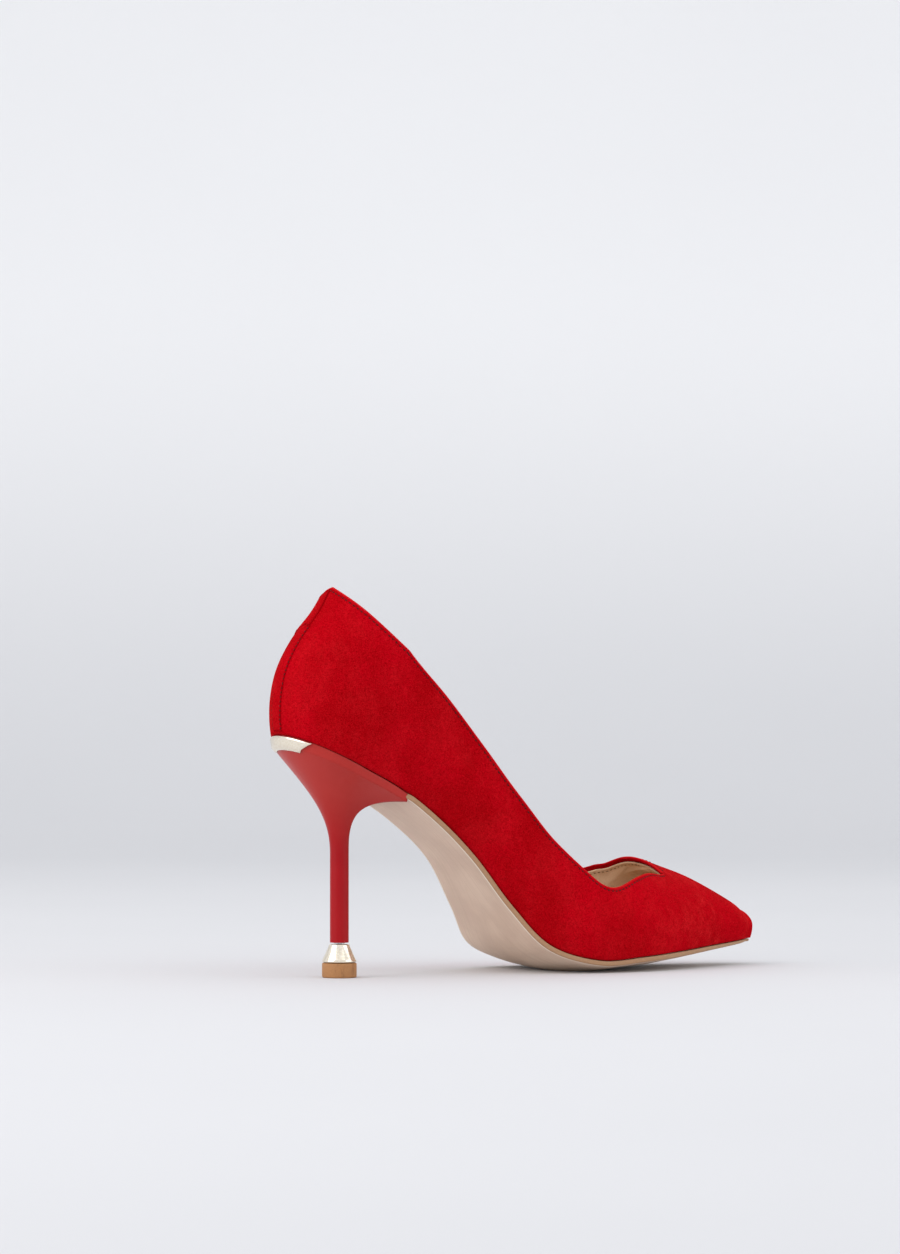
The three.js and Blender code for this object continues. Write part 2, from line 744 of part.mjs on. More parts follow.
add("top_piece_pin", topPiecePin(), steel);
add("heel_screw", driven(SCREW, ...SCREW_AT), steel);
for (const [name, at] of Object.entries(NAILS)) add(name, driven(NAIL, ...at), steel);
for (const [name, at] of Object.entries(RIVETS)) add(name, driven(RIVET, ...at), steel);

const box = new THREE.Box3().setFromObject(shoe, true);
const centre = box.getCenter(new THREE.Vector3());
shoe.children.forEach((mesh) => mesh.geometry.translate(-centre.x, -centre.y, -box.min.z));

export default shoe;
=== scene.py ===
"""High heel pump, right shoe, in red suede. Metres, in the CAD part's own frame."""
import math

import bpy
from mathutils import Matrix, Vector, kdtree


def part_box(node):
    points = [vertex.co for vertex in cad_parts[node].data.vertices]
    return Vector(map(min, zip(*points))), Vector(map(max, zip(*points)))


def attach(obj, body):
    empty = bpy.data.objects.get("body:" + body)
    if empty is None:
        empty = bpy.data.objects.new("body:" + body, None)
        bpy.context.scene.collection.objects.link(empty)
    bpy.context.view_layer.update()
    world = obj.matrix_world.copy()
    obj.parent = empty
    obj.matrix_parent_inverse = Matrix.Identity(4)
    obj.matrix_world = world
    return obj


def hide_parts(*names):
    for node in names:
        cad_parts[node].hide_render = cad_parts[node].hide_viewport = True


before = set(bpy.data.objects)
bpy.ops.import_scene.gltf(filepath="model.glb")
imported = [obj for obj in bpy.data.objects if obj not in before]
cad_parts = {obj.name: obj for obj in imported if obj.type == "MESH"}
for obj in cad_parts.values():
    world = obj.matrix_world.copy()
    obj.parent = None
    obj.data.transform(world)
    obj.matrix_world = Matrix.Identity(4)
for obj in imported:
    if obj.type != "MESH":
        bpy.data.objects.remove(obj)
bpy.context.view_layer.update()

# ---- The shoe's form, in millimetres, with the heel tip at the origin -----------------------

COLUMNS = ["x", "z", "lean", "ridge", "wide", "foot_out", "max_out", "foot_in", "max_in", "shift"]
SECTIONS = [
    [-3, 85.6, 25, 112, 20, 23.5, 26.5, 22.5, 26, 0],
    [17, 76, 29, 109, 21, 22, 27, 20, 26.5, 0],
    [36, 63.6, 32, 103, 22, 19.5, 27.5, 17.5, 27.5, 0],
    [53, 48.5, 33, 95, 22, 18.8, 28.5, 17.3, 29, 0],
    [69, 28.3, 31, 86, 19, 21.5, 30, 24.5, 32, 1],
    [84, 12, 25, 74, 15, 27, 32, 34.5, 36.5, 2],
    [105, 5.4, 14, 60, 11, 32.5, 34.5, 38, 38.5, 5],
    [127, 6.3, 5, 49, 9, 33, 34, 32, 33, 7],
    [149, 7.7, 0, 38, 8, 27, 28, 24, 25.5, 7],
    [171, 9.2, 0, 28.3, 7, 18, 19.5, 15.5, 17.5, 4],
    [190, 10.4, 0, 17.2, 6.5, 9.8, 11.3, 8.8, 10.8, 1],
    [196.5, 10.9, 0, 12, 5.5, 6.4, 7.6, 6, 7.4, 0],
]
BACK = [
    [0, -28.8, 98.3], [6, -29.4, 104.5], [16, -29, 114.3], [26, -26.8, 124],
    [40, -19.5, 137], [54, -9, 149], [62, -3.5, 157.2], [76, 8, 170],
]
TOE_FOOT, TOE_MAX = 4.2, 5.1
CROWN_START = 0.3
FULLNESS = {-1: -0.2, 0: -0.35, 1: 0.15}
TOP_OUT = [
    [-1, 0.512], [-0.5, 0.488], [0, 0.452], [1, 0.4], [2, 0.36], [3, 0.342], [4, 0.378],
    [5, 0.45], [6, 0.482], [7, 0.583], [7.6, 0.66], [8, 0.7], [8.15, 0.73],
]
TOP_IN = [
    [-1, 0.512], [-0.5, 0.49], [0, 0.455], [1, 0.405], [2, 0.368], [3, 0.352], [4, 0.385],
    [5, 0.46], [6, 0.51], [7, 0.59], [7.5, 0.69], [7.8, 0.8], [7.95, 0.96], [8.1, 1.12],
    [8.15, 1.27],
]
THROAT, THROAT_SPLIT, SPLIT_END = 8.15, 0.73, 9.6
LAST = len(SECTIONS) - 1
SUEDE, LINING_DEPTH, LINING = 1.2, 3.1, 0.9
SEAM_LOW, SEAM_HIGH = 2.9, 4.0
TIP_R, TOP_PIECE, COLLAR, STEM_R, STEM_TOP = 7.0, 5.9, 7.2, 3.8, 50.0


def clamp(value, low, high):
    return max(low, min(high, value))


def lerp(a, b, share):
    return a + (b - a) * share


def smooth(value, low, high):
    t = clamp((value - low) / (high - low), 0, 1)
    return t * t * (3 - 2 * t)


def span(start, end, count):
    return [lerp(start, end, i / count) for i in range(count + 1)]


def curve(points):
    """Smooth curve through (x, y) points."""
    xs, ys = [p[0] for p in points], [p[1] for p in points]
    last = len(points) - 1
    widths = [xs[i + 1] - xs[i] for i in range(last)]
    slopes = [(ys[i + 1] - ys[i]) / widths[i] for i in range(last)]
    inner = [
        (slopes[i - 1] * widths[i] + slopes[i] * widths[i - 1]) / (widths[i] + widths[i - 1])
        for i in range(1, last)
    ]
    tangents = [slopes[0], *inner, slopes[-1]]

    def value(x):
        i = 0
        while i < last - 1 and x >= xs[i + 1]:
            i += 1
        h, u = widths[i], (x - xs[i]) / widths[i]
        level = ys[i] * (1 + 2 * u) * (1 - u) ** 2 + ys[i + 1] * u * u * (3 - 2 * u)
        return level + h * (tangents[i] * u * (1 - u) ** 2 + tangents[i + 1] * u * u * (u - 1))

    return value


column_curves = {
    name: curve([[i, row[c]] for i, row in enumerate(SECTIONS)]) for c, name in enumerate(COLUMNS)
}
back_x = curve([[up, x] for up, x, z in BACK])
back_z = curve([[up, z] for up, x, z in BACK])
top_out, top_in = curve(TOP_OUT), curve(TOP_IN)
known_sections = {}


def section(place):
    at = clamp(place, 0, LAST)
    if at not in known_sections:
        known_sections[at] = {name: value(at) for name, value in column_curves.items()}
    return known_sections[at]


def topline(side, place):
    if place < THROAT:
        return top_in(place) if side > 0 else top_out(place)
    split = lerp(THROAT_SPLIT, 1, smooth(place, THROAT, SPLIT_END))
    return 2 - split if side > 0 else split


def crown_angle(girth):
    return clamp((girth - CROWN_START) / (1 - CROWN_START), 0, 1) * math.pi / 2


def height_at(s, girth):
    if girth < CROWN_START:
        return s["wide"] * girth / CROWN_START
    return s["wide"] + (s["ridge"] - s["wide"]) * math.sin(crown_angle(girth))


def girth_at(s, height):
    if height < s["wide"]:
        return CROWN_START * height / s["wide"]
    share = clamp((height - s["wide"]) / (s["ridge"] - s["wide"]), 0, 1)
    return CROWN_START + (1 - CROWN_START) * math.asin(share) * 2 / math.pi


def half_width(side, foot, widest, girth):
    if girth < CROWN_START:
        return widest - (widest - foot) * (1 - girth / CROWN_START) ** 2
    angle = crown_angle(girth)
    return widest * math.cos(angle) * (1 + FULLNESS[side] * math.sin(angle) ** 2)


def middle(s, up):
    lean = math.radians(s["lean"])
    return Vector((s["x"] + up * math.sin(lean), 0, s["z"] + up * math.cos(lean)))


def turn_at(place):
    return clamp(-place if place < 0 else place - LAST, 0, 1) * math.pi / 2


def form(side, place, girth):
    """Point of the outer form; girth over 1 is past the crown, on the other side."""
    if girth > 1:
        side, girth = -side, 2 - girth
    s = section(place)
    up = height_at(s, girth)
    foot, widest = (s["foot_in"], s["max_in"]) if side > 0 else (s["foot_out"], s["max_out"])
    point = middle(s, up)
    turn = turn_at(place)
    if place < 0:
        point.x += math.sin(turn) * (back_x(up) - point.x)
        point.z += math.sin(turn) * (back_z(up) - point.z)
    else:
        point.x += math.sin(turn) * half_width(0, TOE_FOOT, TOE_MAX, girth)
    point.y = side * half_width(side, foot, widest, girth) * math.cos(turn)
    point.y += s["shift"] * math.sin(crown_angle(girth)) ** 2
    return point


def normal(side, place, girth):
    """Outward unit normal of the outer form."""
    if girth > 1:
        side, girth = -side, 2 - girth
    step = 0.004
    at = clamp(place, -1 + step, LAST + 1 - step)
    if girth > 0.97:
        at = min(at, LAST - step)
    g = clamp(girth, step, 1 - step)
    up = form(side, at, g + step) - form(side, at, g - step)
    along = form(side, at + step, g) - form(side, at - step, g)
    out = (along.cross(up) * -side).normalized()
    if place in (-1, LAST + 1):
        out.y = 0
        out.normalize()
    if girth > 0.94:
        crown = form(side, at + step, 1) - form(side, at - step, 1)
        flat = Vector((-crown.z, 0, crown.x)).normalized()
        out = out.lerp(flat, smooth(girth, 0.94, 1)).normalized()
    return out


def underfoot(place, across, inset, up):
    s = section(place)
    point = middle(s, up)
    turn = turn_at(place)
    foot = s["foot_in"] if across > 0 else s["foot_out"]
    point.y = across * max(foot - inset, 0.2) * math.cos(turn)
    if place < 0:
        reach = 1 - inset / (s["x"] - back_x(0))
        point.x += math.sin(turn) * reach * (back_x(up) - point.x)
        point.z += math.sin(turn) * reach * (back_z(up) - point.z)
    else:
        point.x += math.sin(turn) * max(TOE_FOOT - inset, 0.2)
    return point


# ---- Mesh helpers -----------------------------------------------------------------------------

tip_low, tip_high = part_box("top_piece")
ORIGIN = Vector(((tip_low.x + tip_high.x) / 2, (tip_low.y + tip_high.y) / 2, 0))


def to_frame(point):
    return ORIGIN + Vector(point) / 1000


class Weave:
    """Collects points in millimetres, shared by position, and the faces between them."""

    def __init__(self):
        self.points, self.faces, self.known = [], {}, {}

    def vertex(self, point):
        key = tuple(round(c * 250) for c in point)
        if key not in self.known:
            self.known[key] = len(self.points)
            self.points.append(Vector(point))
        return self.known[key]

    def face(self, ids, flip=False):
        """Adds a face; one laid twice is a wall inside the body, and both copies go."""
        kept = [v for k, v in enumerate(ids) if v != ids[k - 1]]
        key = frozenset(kept)
        if self.faces.pop(key, None) is None and len(key) >= 3:
            self.faces[key] = kept[::-1] if flip else kept

    def grid(self, columns, flip=False, closed=False):
        """Faces between neighbouring columns of points; closed joins the last to the first."""
        ids = [[self.vertex(point) for point in column] for column in columns]
        if closed:
            ids.append(ids[0])
        for left, right in zip(ids, ids[1:]):
            for j in range(len(left) - 1):
                self.face([left[j], right[j], right[j + 1], left[j + 1]], flip)

    def fill(self, ring, flip=False):
        self.face([self.vertex(point) for point in ring], flip)


class Line:
    """A polyline in millimetres that gives arc length along it and distance from it."""

    def __init__(self, points):
        self.points = points
        self.arc = [0.0]
        for a, b in zip(points, points[1:]):
            self.arc.append(self.arc[-1] + (b - a).length)
        self.tree = kdtree.KDTree(len(points))
        for i, point in enumerate(points):
            self.tree.insert(point, i)
        self.tree.balance()

    def uv(self, point):
        _, i, distance = self.tree.find(point)
        return self.arc[i], distance

    def every(self, pitch, start=0.0):
        """Indices of points a pitch apart along the line."""
        found, next_at = [], start
        for i, arc in enumerate(self.arc):
            if arc >= next_at:
                found.append(i)
                next_at += pitch
        return found


def make(name, weave, material, nodes=(), line=None):
    """A piece that stands for CAD nodes. Its uvs are the arc along a line and the distance from it."""
    mesh = bpy.data.meshes.new(name)
    mesh.from_pydata([to_frame(p) for p in weave.points], [], list(weave.faces.values()))
    mesh.validate()
    if line:
        uvs = [line.uv(p) for p in weave.points]
        layer = mesh.uv_layers.new(name="detail")
        for loop in mesh.loops:
            layer.data[loop.index].uv = uvs[loop.vertex_index]
    for face in mesh.polygons:
        face.use_smooth = True
    obj = bpy.data.objects.new(name, mesh)
    bpy.context.scene.collection.objects.link(obj)
    obj.data.materials.append(material)
    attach(obj, "root")
    if nodes:
        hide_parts(*nodes)
    return obj


# ---- Materials --------------------------------------------------------------------------------


class Shade:
    """A small builder for one procedural material."""

    def __init__(self, name):
        self.material = bpy.data.materials.new(name)
        self.material.use_nodes = True
        self.tree = self.material.node_tree
        self.nodes = self.tree.nodes
        self.shader = self.nodes["Principled BSDF"]
        self.coords = self.nodes.new("ShaderNodeTexCoord")

    def link(self, value, socket):
        if isinstance(value, bpy.types.NodeSocket):
            self.tree.links.new(value, socket)
        else:
            socket.default_value = value

    def noise(self, scale, detail=3.0, rough=0.5, stretch=None, uv=False):
        node = self.nodes.new("ShaderNodeTexNoise")
        node.inputs["Scale"].default_value = scale
        node.inputs["Detail"].default_value = detail
        node.inputs["Roughness"].default_value = rough
        coords = self.coords.outputs["UV" if uv else "Object"]
        if stretch:
            mapping = self.nodes.new("ShaderNodeMapping")
            mapping.inputs["Scale"].default_value = stretch
            self.link(coords, mapping.inputs["Vector"])
            coords = mapping.outputs["Vector"]
        self.link(coords, node.inputs["Vector"])
        return node.outputs["Fac"]

    def cells(self, scale):
        node = self.nodes.new("ShaderNodeTexVoronoi")
        node.feature = "DISTANCE_TO_EDGE"
        node.inputs["Scale"].default_value = scale
        self.link(self.coords.outputs["Object"], node.inputs["Vector"])
        return node.outputs["Distance"]

    def math(self, operation, a, b=0.0, clamped=False):
        node = self.nodes.new("ShaderNodeMath")
        node.operation = operation
        node.use_clamp = clamped
        self.link(a, node.inputs[0])
        self.link(b, node.inputs[1])
        return node.outputs[0]

    def ramp(self, value, low, high, start=0.0, end=1.0):
        node = self.nodes.new("ShaderNodeMapRange")
        node.interpolation_type = "SMOOTHSTEP"
        self.link(value, node.inputs["Value"])
        for name, level in (("From Min", low), ("From Max", high), ("To Min", start), ("To Max", end)):
            node.inputs[name].default_value = level
        return node.outputs["Result"]

    def mix(self, share, a, b):
        node = self.nodes.new("ShaderNodeMix")
        node.data_type = "RGBA"
        self.link(share, node.inputs["Factor"])
        for value, socket in ((a, node.inputs["A"]), (b, node.inputs["B"])):
            self.link(value if isinstance(value, bpy.types.NodeSocket) else (*value, 1), socket)
        return node.outputs["Result"]

    def uv(self):
        node = self.nodes.new("ShaderNodeSeparateXYZ")
        self.link(self.coords.outputs["UV"], node.inputs[0])
        return node.outputs[0], node.outputs[1]

    def band(self, value, at, width):
        """1 on a line at a value, fading to 0 a width away."""
        away = self.math("ABSOLUTE", self.math("SUBTRACT", value, at))
        return self.ramp(away, 0.0, width, 1.0, 0.0)

    def position(self, axis):
        """One coordinate of the point in metres: 0, 1 or 2 for X, Y or Z."""
        parted = self.nodes.new("ShaderNodeSeparateXYZ")
        self.link(self.coords.outputs["Object"], parted.inputs[0])
        return parted.outputs[axis]

    def bump(self, height, distance, under=None):
        node = self.nodes.new("ShaderNodeBump")
        node.inputs["Strength"].default_value = 1.0
        node.inputs["Distance"].default_value = distance
        self.link(height, node.inputs["Height"])
        if under is not None:
            self.link(under, node.inputs["Normal"])
        return node.outputs["Normal"]

    def finish(self, colour, roughness, normal_map=None, **constants):
        self.link(colour, self.shader.inputs["Base Color"])
        self.link(roughness, self.shader.inputs["Roughness"])
        if normal_map is not None:
            self.link(normal_map, self.shader.inputs["Normal"])
        for name, value in constants.items():
            self.shader.inputs[name.replace("_", " ")].default_value = value
        return self.material


def suede_material(name, stitch_at, edge, painted_edge_band_width):
    """Napped red suede: brushed patches, fine fibres, a painted sheen in patches toward the toe, a sunk
    stitch line with painted shade in it, and an edge band in a colour given by the caller: a painted
    highlight on the topline's fold, painted shade on the back strip's rolled edge.
    """
    s = Shade(name)
    _, down = s.uv()
    brushed = s.ramp(s.noise(26, 5, 0.62, (1, 1.6, 0.7)), 0.38, 0.64)
    # Lighter orange-red patches toward the toe are a painted sheen: the suede's grazing-light sheen painted
    # into its colour.
    toeward = s.ramp(s.position(0), 0.03, 0.09, 0.3, 0.95)
    painted_toe_sheen = s.math("MULTIPLY", s.ramp(s.noise(44, 6, 0.75, (1.3, 1, 1)), 0.44, 0.62), toeward)
    mottle = s.noise(330, 4, 0.65)
    nap = s.noise(950, 4, 0.7)
    fibre = s.noise(2600, 3, 0.7)
    colour = s.mix(brushed, (0.345, 0.0, 0.0028), (0.50, 0.0, 0.0070))
    colour = s.mix(painted_toe_sheen, colour, (0.60, 0.011, 0.016))
    colour = s.mix(s.ramp(mottle, 0.38, 0.7, 0.0, 0.45), colour, (0.42, 0.0, 0.004))
    colour = s.mix(s.ramp(nap, 0.56, 0.4, 0.0, 0.42), colour, (0.24, 0.0, 0.001))
    colour = s.mix(s.ramp(fibre, 0.38, 0.72, 0.0, 0.42), colour, (0.74, 0.012, 0.018))
    colour = s.mix(s.ramp(fibre, 0.5, 0.3, 0.0, 0.45), colour, (0.20, 0.0, 0.001))
    # Band along the edge in the colour given by the caller: painted light, a painted highlight on the topline
    # and painted shade on the back strip.
    colour = s.mix(s.band(down, 0.25, painted_edge_band_width), colour, edge)
    # The stitch line is darkened in colour as well as sunk: painted shade in the sunk line.
    groove_with_painted_shade = s.band(down, stitch_at, 0.45)
    colour = s.mix(s.math("MULTIPLY", groove_with_painted_shade, 0.35), colour, (0.18, 0.0, 0.001))
    height = s.math("SUBTRACT", mottle, s.math("MULTIPLY", groove_with_painted_shade, 0.7))
    return s.finish(
        colour,
        s.ramp(mottle, 0.3, 0.7, 0.88, 0.98),
        s.bump(fibre, 0.0002, s.bump(nap, 0.00018, s.bump(height, 0.00022))),
        Specular_IOR_Level=0.0,
        Sheen_Weight=0.3,
        Sheen_Roughness=0.22,
        Sheen_Tint=(1.0, 0.10, 0.08, 1),
    )


def leather_material(name, light, dark, stitch_at=None, gloss=0.45):
    """Smooth leather with a pebbled grain, pores and, where asked, a sunk stitch line with painted shade in
    it.
    """
    s = Shade(name)
    _, down = s.uv()
    tone = s.ramp(s.noise(45, 4, 0.6), 0.35, 0.68)
    grain = s.cells(1500)
    pores = s.noise(5200, 2, 0.6)
    colour = s.mix(tone, dark, light)
    colour = s.mix(s.ramp(grain, 0.0, 0.12, 0.35, 0.0), colour, tuple(c * 0.72 for c in dark))
    colour = s.mix(s.ramp(pores, 0.62, 0.75, 0.0, 0.4), colour, tuple(c * 0.6 for c in dark))
    height = s.math("SUBTRACT", s.ramp(grain, 0.0, 0.3), s.math("MULTIPLY", pores, 0.3))
    if stitch_at is not None:
        # The stitch line is darkened in colour as well as sunk: painted shade in the sunk line.
        groove_with_painted_shade = s.band(down, stitch_at, 0.5)
        colour = s.mix(s.math("MULTIPLY", groove_with_painted_shade, 0.5), colour, tuple(c * 0.45 for c in dark))
        height = s.math("SUBTRACT", height, s.math("MULTIPLY", groove_with_painted_shade, 2.0))
    roughness = s.ramp(tone, 0.0, 1.0, gloss + 0.12, gloss)
    return s.finish(colour, roughness, s.bump(height, 0.00006), Specular_IOR_Level=0.4)


def outsole_material():
    """Pale sole leather: long faint streaks, a brown edge ink and, just inside it, a pale band that is a
    painted highlight along the bevel.
    """
    s = Shade("outsole_leather")
    _, inward = s.uv()
    streaks = s.noise(1, 4, 0.6, (0.02, 1.1, 1), uv=True)
    cloud = s.noise(38, 4, 0.6)
    pores = s.noise(3800, 3, 0.6)
    colour = s.mix(s.ramp(cloud, 0.35, 0.68), (0.64, 0.47, 0.36), (0.74, 0.57, 0.445))
    colour = s.mix(s.ramp(streaks, 0.45, 0.7, 0.0, 0.35), colour, (0.54, 0.385, 0.27))
    colour = s.mix(s.ramp(pores, 0.6, 0.75, 0.0, 0.3), colour, (0.46, 0.33, 0.23))
    # Pale band just inside the brown edge: a painted highlight along the bevel of the sole.
    colour = s.mix(s.ramp(inward, 2.6, 2.2), colour, (0.86, 0.76, 0.64))
    edge = s.ramp(inward, 2.15, 1.9)
    brown = s.mix(s.noise(900, 3, 0.6), (0.36, 0.19, 0.095), (0.47, 0.28, 0.155))
    colour = s.mix(edge, colour, brown)
    roughness = s.ramp(cloud, 0.3, 0.7, 0.42, 0.58)
    height = s.math("ADD", s.math("MULTIPLY", streaks, 0.5), pores)
    return s.finish(colour, roughness, s.bump(height, 0.00006), Specular_IOR_Level=0.35)


def lacquer_material():
    """Satin brick-red lacquer, painted lighter over the heel's upper cup than down its stem: a painted
    reflection of the lit surroundings.
    """
    s = Shade("heel_lacquer")
    cloud = s.ramp(s.noise(30, 3, 0.5), 0.35, 0.68)
    peel = s.noise(650, 2, 0.5)
    specks = s.noise(5200, 2, 0.6)
    stem = s.mix(cloud, (0.33, 0.001, 0.005), (0.37, 0.003, 0.007))
    seat_with_painted_reflection = s.mix(cloud, (0.42, 0.027, 0.022), (0.46, 0.033, 0.027))
    # Lighter above 46 mm: a painted reflection on the upper cup, blended from the stem's deep red.
    colour = s.mix(s.ramp(s.position(2), 0.046, 0.078), stem, seat_with_painted_reflection)
    colour = s.mix(s.ramp(specks, 0.66, 0.78, 0.0, 0.35), colour, (0.50, 0.04, 0.03))
    roughness = s.ramp(specks, 0.3, 0.7, 0.30, 0.40)
    return s.finish(colour, roughness, s.bump(peel, 0.00002), Specular_IOR_Level=0.17)


def gold_material():
    """Pale gold plating: polished, with fine turning marks and a few hairlines."""
    s = Shade("gold_plating")
    marks = s.noise(60, 2, 0.5, (1, 1, 60))
    hairs = s.noise(1400, 2, 0.6, (0.05, 1, 1))
    colour = s.mix(s.ramp(hairs, 0.3, 0.7), (0.84, 0.75, 0.60), (0.94, 0.87, 0.74))
    roughness = s.ramp(marks, 0.3, 0.7, 0.10, 0.19)
    return s.finish(colour, roughness, s.bump(marks, 0.000004), Metallic=1.0)


def rubber_material():
    """Caramel hard rubber with a turned side, fine grit and darker scuffs."""
    s = Shade("top_piece_rubber")
    grit = s.noise(4200, 3, 0.6)
    scuffs = s.ramp(s.noise(420, 4, 0.7, (1, 1, 0.25)), 0.56, 0.7)
    colour = s.mix(s.ramp(grit, 0.35, 0.68), (0.38, 0.17, 0.062), (0.48, 0.235, 0.09))
    colour = s.mix(s.math("MULTIPLY", scuffs, 0.5), colour, (0.23, 0.10, 0.04))
    return s.finish(colour, s.ramp(grit, 0.3, 0.7, 0.5, 0.68), s.bump(grit, 0.00008), Specular_IOR_Level=0.35)


def thread_material(name, light, dark):
    """Twisted sewing thread."""
    s = Shade(name)
    fibres = s.noise(6500, 3, 0.7)
    twist = s.noise(1900, 1, 0.5, (2.5, 0.7, 1))
    colour = s.mix(s.ramp(twist, 0.4, 0.6), dark, light)
    roughness = s.ramp(fibres, 0.3, 0.7, 0.6, 0.85)
    return s.finish(colour, roughness, s.bump(fibres, 0.0001), Specular_IOR_Level=0.25)


def fibrous_material(name, light, dark, scale, depth, rough=0.9):
    """Board, cork, foam or cloth: a coarse and a fine grain, each with its own tone."""
    s = Shade(name)
    coarse = s.noise(scale, 5, 0.65)
    fine = s.noise(scale * 6, 3, 0.6)
    colour = s.mix(s.ramp(coarse, 0.35, 0.65), dark, light)
    colour = s.mix(s.ramp(fine, 0.55, 0.7, 0.0, 0.5), colour, tuple(c * 0.7 for c in dark))
    height = s.math("ADD", coarse, s.math("MULTIPLY", fine, 0.4))
    return s.finish(colour, s.ramp(fine, 0.3, 0.7, rough - 0.1, rough), s.bump(height, depth))


def steel_material():
    """Plain drawn steel with fine length-wise scratches."""
    s = Shade("plain_steel")
    scratches = s.noise(900, 3, 0.6, (0.06, 1, 1))
    colour = s.mix(s.ramp(scratches, 0.3, 0.7), (0.42, 0.42, 0.43), (0.58, 0.58, 0.59))
    return s.finish(colour, s.ramp(scratches, 0.3, 0.7, 0.25, 0.42), s.bump(scratches, 0.00001), Metallic=1.0)


# Edge colour: a lighter coral, a painted highlight along the folded topline.
suede = suede_material("red_suede", 1.6, (0.60, 0.012, 0.014), 0.6)
# Edge colour: a darker red, painted shade along the strip's rolled edge.
strip_suede = suede_material("strip_suede", 0.6, (0.32, 0.0, 0.003), 0.35)
lining_leather = leather_material("lining_leather", (0.76, 0.52, 0.33), (0.64, 0.42, 0.255), 1.6)
sock_leather = leather_material("sock_leather", (0.74, 0.50, 0.31), (0.62, 0.40, 0.24), 2.0)
outsole_leather = outsole_material()
lacquer = lacquer_material()
gold = gold_material()
rubber = rubber_material()
# Near-black red: the thread's own red darkened with painted shade, standing in for shadowed stitch holes.
red_thread_with_painted_shade = thread_material("red_thread_with_painted_shade", (0.10, 0.0, 0.001), (0.03, 0.0, 0.0))
brown_thread = thread_material("brown_thread", (0.20, 0.10, 0.05), (0.07, 0.03, 0.015))
buckram = fibrous_material("buckram", (0.70, 0.63, 0.5), (0.58, 0.5, 0.38), 1800, 0.0001)
cotton = fibrous_material("cotton", (0.80, 0.75, 0.66), (0.68, 0.62, 0.52), 2200, 0.00012)
board_fibre = fibrous_material("board_fibre", (0.30, 0.19, 0.10), (0.20, 0.12, 0.06), 1200, 0.00008)
cork = fibrous_material("cork_filler", (0.44, 0.25, 0.11), (0.26, 0.13, 0.05), 500, 0.0002)
foam = fibrous_material("open_foam", (0.82, 0.72, 0.44), (0.70, 0.58, 0.30), 1600, 0.0002)
steel = steel_material()

# ---- Upper ------------------------------------------------------------------------------------


def top_places(start, end):
    """Places along the topline, closer together round the V."""
    places = []
    place = start
    while place < end - 1e-6:
        places.append(place)
        fine = 0.012 if 7.55 < place < 8.3 else 0.06
        place += min(fine, 0.03) if place < 0 or place > LAST else fine
    return [*places, end]


TOP = {side: top_places(-1, LAST + 1) for side in (-1, 1)}
OPEN = {side: [p for p in TOP[side] if p < THROAT] + [THROAT] for side in (-1, 1)}
top_edge = Line(
    [form(1, p, topline(1, p)) for p in reversed(OPEN[1])]
    + [form(-1, p, topline(-1, p)) for p in OPEN[-1][1:]]
)


def wall_point(side, place, girth, depth):
    if girth <= 0:
        return underfoot(place, side, depth, depth)
    return form(side, place, girth) - normal(side, place, girth) * depth


def foot_place(side, place):
    """Where the column under a topline place starts at the feather line: it leans by the seam."""
    if side < 0 or place <= 2 or place >= 6:
        return place
    if place < SEAM_HIGH:
        return lerp(2, SEAM_LOW, (place - 2) / (SEAM_HIGH - 2))
    return lerp(SEAM_LOW, 6, (place - SEAM_HIGH) / (6 - SEAM_HIGH))


def below(side, place, distance):
    """The place and girth at a distance down the upper, square to its topline."""
    step = 0.004
    girth = topline(side, place)
    base = form(side, place, girth)
    ahead, behind = min(place + step, LAST + 1), max(place - step, -1)
    if place < THROAT <= ahead:
        ahead = place
    edge = form(side, ahead, topline(side, ahead)) - form(side, behind, topline(side, behind))
    by_place = (form(side, ahead, girth) - form(side, behind, girth)) / (ahead - behind)
    by_girth = (form(side, place, girth - step) - base) / -step
    inward = edge.normalized().cross(normal(side, place, girth)) * side
    if inward.dot(by_girth) > 0:
        inward = -inward
    a, b, c = by_place.dot(by_place), by_place.dot(by_girth), by_girth.dot(by_girth)
    p, q = by_place.dot(inward) * distance, by_girth.dot(inward) * distance
    det = a * c - b * b
    if abs(det) < 1e-9:
        return place, girth - distance / max(by_girth.length, 1)
    return place + (p * c - q * b) / det, girth + (q * a - p * b) / det


APEX = form(-1, THROAT, THROAT_SPLIT)
PLACE_MM = 21  # length of one step of place near the point of the V


def apex_step(inset):
    """How far the edge stands ahead of the point of the V, in places, at an inset."""
    return 1.25 * inset / PLACE_MM


def lip(side, place, inset):
    """Place, girth and point of the topline at an inset, with its outward and inward directions."""
    if place == THROAT:
        at = THROAT + apex_step(inset)
        girth = topline(side, at)
        point = form(side, at, girth)
        down = form(side, at + 0.03, topline(side, at + 0.03)) - point
    else:
        at, girth = below(side, place, inset)
        at = clamp(at, -1, LAST + 1)
        low_at, low = below(side, place, inset + 0.8)
        point = form(side, at, girth)
        down = form(side, clamp(low_at, -1, LAST + 1), low) - point
    out = normal(side, at, girth)
    down = (down - out * down.dot(out)).normalized()
    if place == -1:
        point.y = 0
        out.y = down.y = 0
        out.normalize()
        down.normalize()
    return at, girth, point, out, down


def stations(side, places, inset):
    """Places that keep clear of each other where the edge turns round the point of the V."""
    kept = []
    for place in places:
        if place < THROAT and (form(side, place, topline(side, place)) - APEX).length < inset * 0.9:
            continue
        if THROAT < place < THROAT + apex_step(inset) + 0.01:
            continue
        kept.append(place)
    return kept


